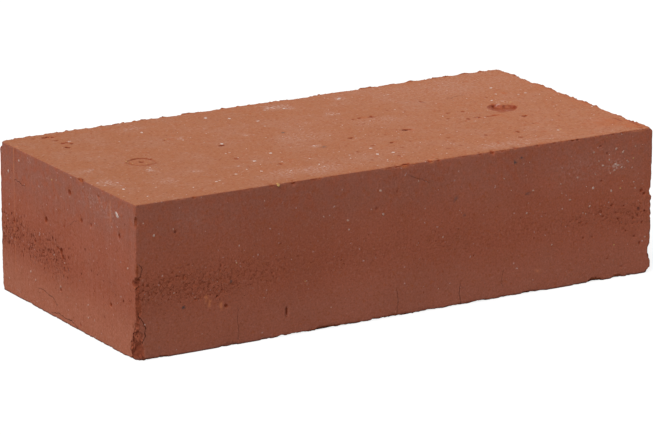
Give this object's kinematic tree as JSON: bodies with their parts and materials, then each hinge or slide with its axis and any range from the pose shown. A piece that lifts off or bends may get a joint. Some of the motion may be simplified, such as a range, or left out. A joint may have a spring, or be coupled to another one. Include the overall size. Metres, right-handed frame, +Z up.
{
  "type": "clay brick",
  "caption": "Solid pressed and fired clay building brick with worn edges, for masonry walls, piers and hearths.",
  "frame": {"origin": "middle of the lower bed, on the plane that the brick rests on", "axes": "+X along the length, +Y along the width, from the front stretcher to the rear one, +Z up through the height"},
  "size_m": [0.25, 0.12, 0.0653],
  "materials": {
    "fired_clay": "matte"
  },
  "bodies": {
    "root": {"pressed_brick": "fired_clay"}
  },
  "joints": []
}
